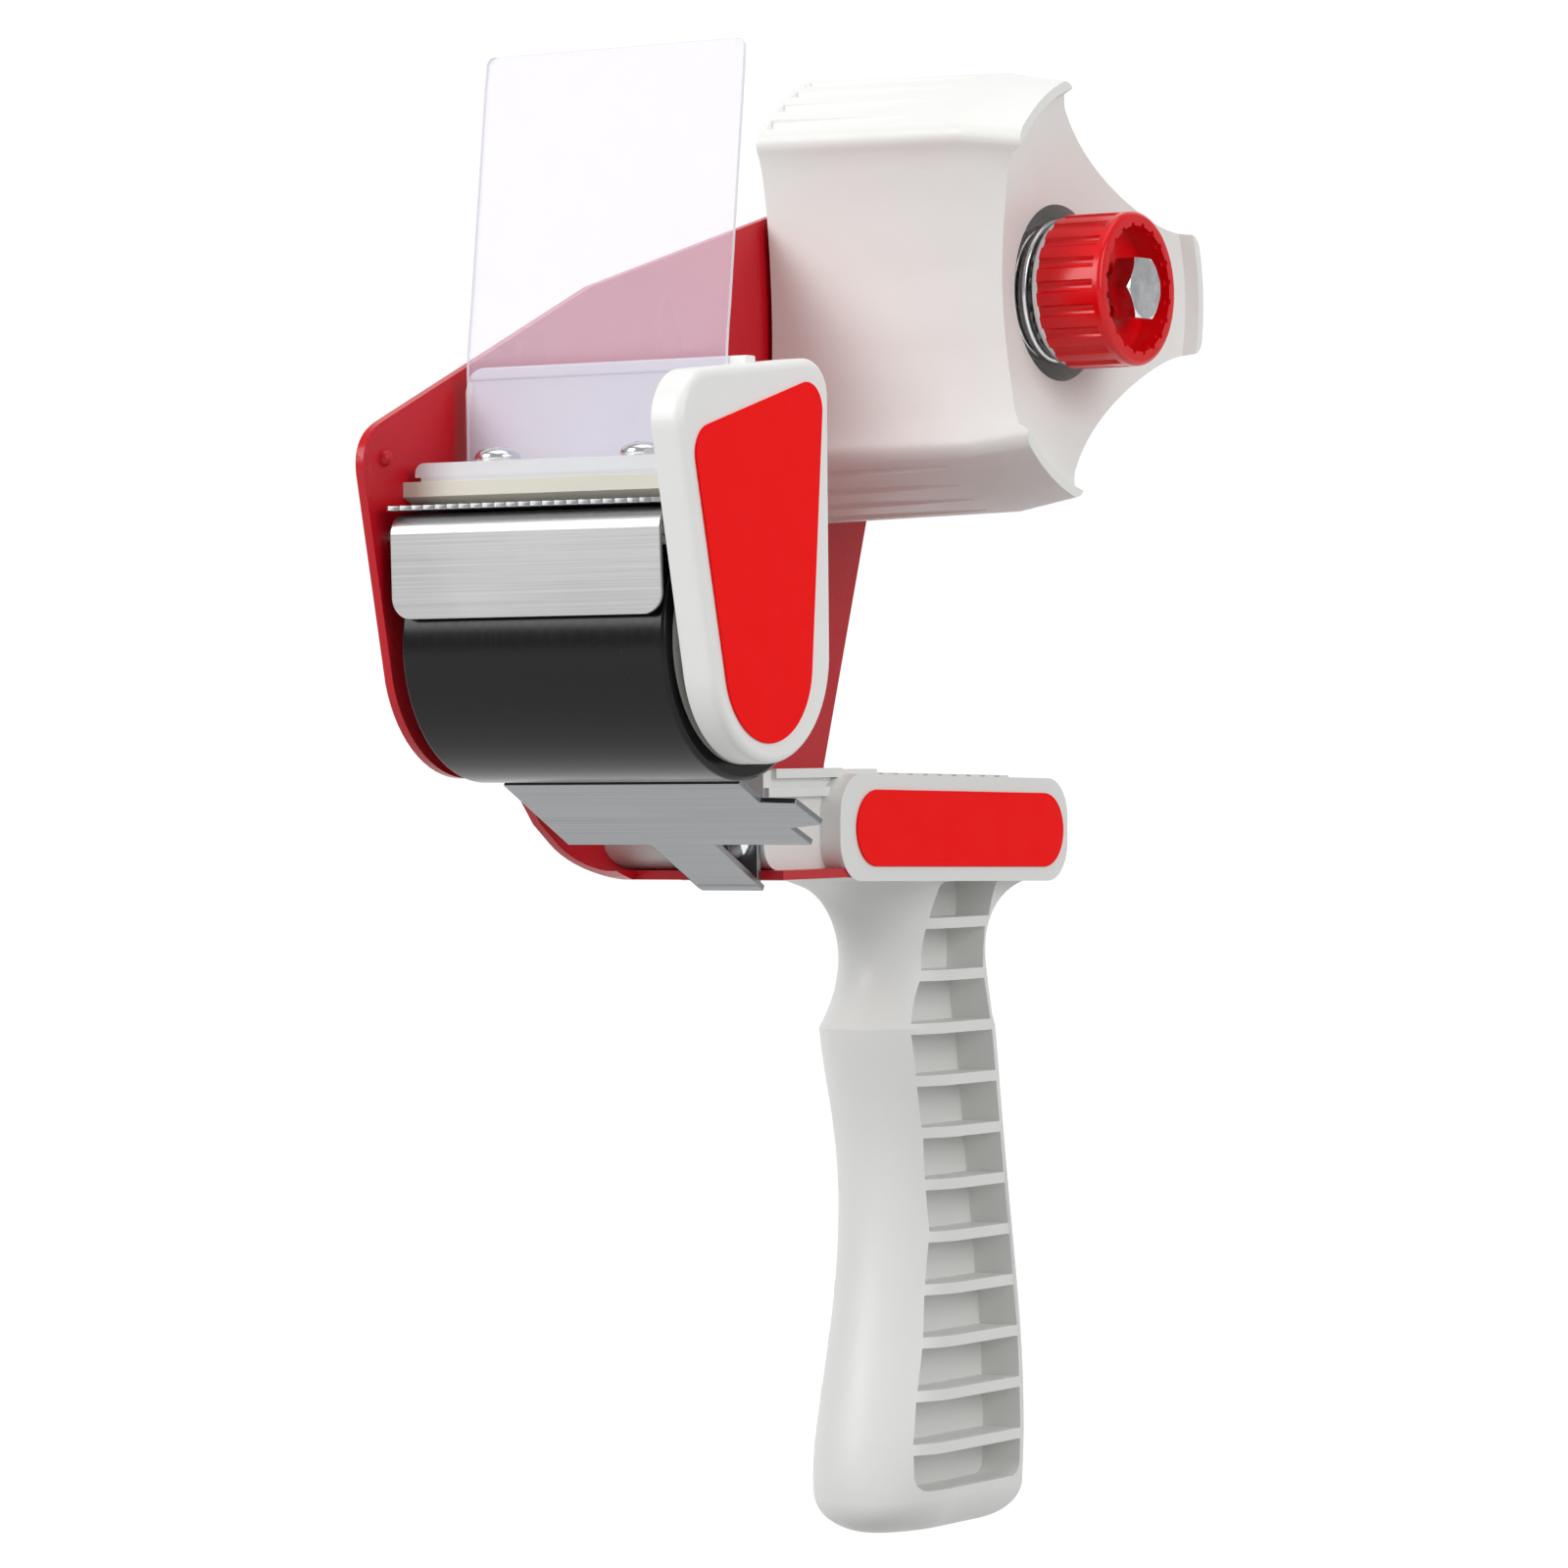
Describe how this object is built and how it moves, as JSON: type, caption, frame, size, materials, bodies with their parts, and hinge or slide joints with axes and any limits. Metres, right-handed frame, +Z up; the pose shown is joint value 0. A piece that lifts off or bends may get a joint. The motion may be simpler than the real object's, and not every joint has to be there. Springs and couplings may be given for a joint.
{
  "type": "handheld tape dispenser",
  "caption": "Pistol-grip packing tape dispenser with a lobed hub, braking knob, pressing roller, toothed blade, sprung guard and clear wiper flap.",
  "frame": {"origin": "on the tape hub's axis, in the middle of the tape's width", "axes": "+X forward to the cutting head, +Y along the hub's axis to the open side where the roll goes on, +Z up with the grip hanging down"},
  "size_m": [0.1784, 0.0671, 0.2441],
  "materials": {
    "red_enamel": "gloss red enamel on steel sheet",
    "handle_white": "moulded plastic, fine satin",
    "badge_red": "flat printed red insert",
    "zinc": "bright zinc plate",
    "cover_white": "moulded plastic, semi-gloss",
    "bar_ivory": "moulded plastic, satin",
    "blade_steel": "ground steel",
    "clear_strip": "translucent plastic",
    "clear_flap": "clear flexible sheet with a faint lilac tint",
    "brushed": "brushed along the tape's width",
    "nylon": "natural nylon",
    "spring_steel": "drawn spring wire",
    "roller_black": "smooth satin black",
    "hub_white": "moulded plastic, warm white satin",
    "knob_red": "gloss moulded plastic"
  },
  "bodies": {
    "frame": {"side_plate": "red_enamel", "handle": "handle_white", "handle_badge": "badge_red", "handle_screws": "zinc", "head_shell": "cover_white", "cover_badge": "badge_red", "clamp_bar": "bar_ivory", "bar_screw": "zinc", "blade": "blade_steel", "flap_strip": "clear_strip", "flap_screws": "zinc", "flap_foot": "clear_flap", "guide_plate": "brushed", "guide_screw": "zinc", "guard_rod": "zinc", "guard_spring": "spring_steel", "roller_axle": "zinc", "axle_nut": "zinc", "axle_spacers": "nylon", "hub_bolt": "zinc", "hub_nut": "zinc", "hub_sleeve": "zinc"},
    "hub": {"hub": "hub_white", "friction_washer": "nylon"},
    "roller": {"roller_sleeve": "roller_black", "roller_bushes": "nylon"},
    "guard": {"blade_guard": "brushed", "guard_bushes": "nylon"},
    "flap": {"wiper_flap": "clear_flap"},
    "washer": {"thrust_washer": "zinc", "tension_spring": "spring_steel"},
    "knob": {"tension_knob": "knob_red", "knob_nut": "zinc"}
  },
  "joints": [
    {"name": "hub_spin", "type": "hinge", "parent": "frame", "child": "hub", "pos_m": [0, 0, 0], "axis": [0, 1, 0], "continuous": true},
    {"name": "roller_spin", "type": "hinge", "parent": "frame", "child": "roller", "pos_m": [0.1122, 0, -0.0593], "axis": [0, 1, 0], "continuous": true},
    {"name": "guard_pivot", "type": "hinge", "parent": "frame", "child": "guard", "pos_m": [0.1321, 0, -0.0427], "axis": [0, -1, 0], "range_deg": [0, 35], "stiffness_Nm_per_rad": 0.02, "springref_deg": -17.19},
    {"name": "flap_flex", "type": "hinge", "parent": "frame", "child": "flap", "pos_m": [0.1153, 0, -0.016], "axis": [0, 1, 0], "range_deg": [-30, 45], "stiffness_Nm_per_rad": 0.05},
    {"name": "knob_travel", "type": "slide", "parent": "frame", "child": "washer", "axis": [0, 1, 0], "range_m": [-0.003, 0], "deforming": ["tension_spring"]},
    {"name": "knob_turn", "type": "hinge", "parent": "washer", "child": "knob", "pos_m": [0, 0.019, 0], "axis": [0, 1, 0], "range_deg": [-1080, 0]}
  ],
  "couplings": [
    {"joint": "knob_travel", "follows": "knob_turn", "m_per_rad": 0.00015915}
  ]
}
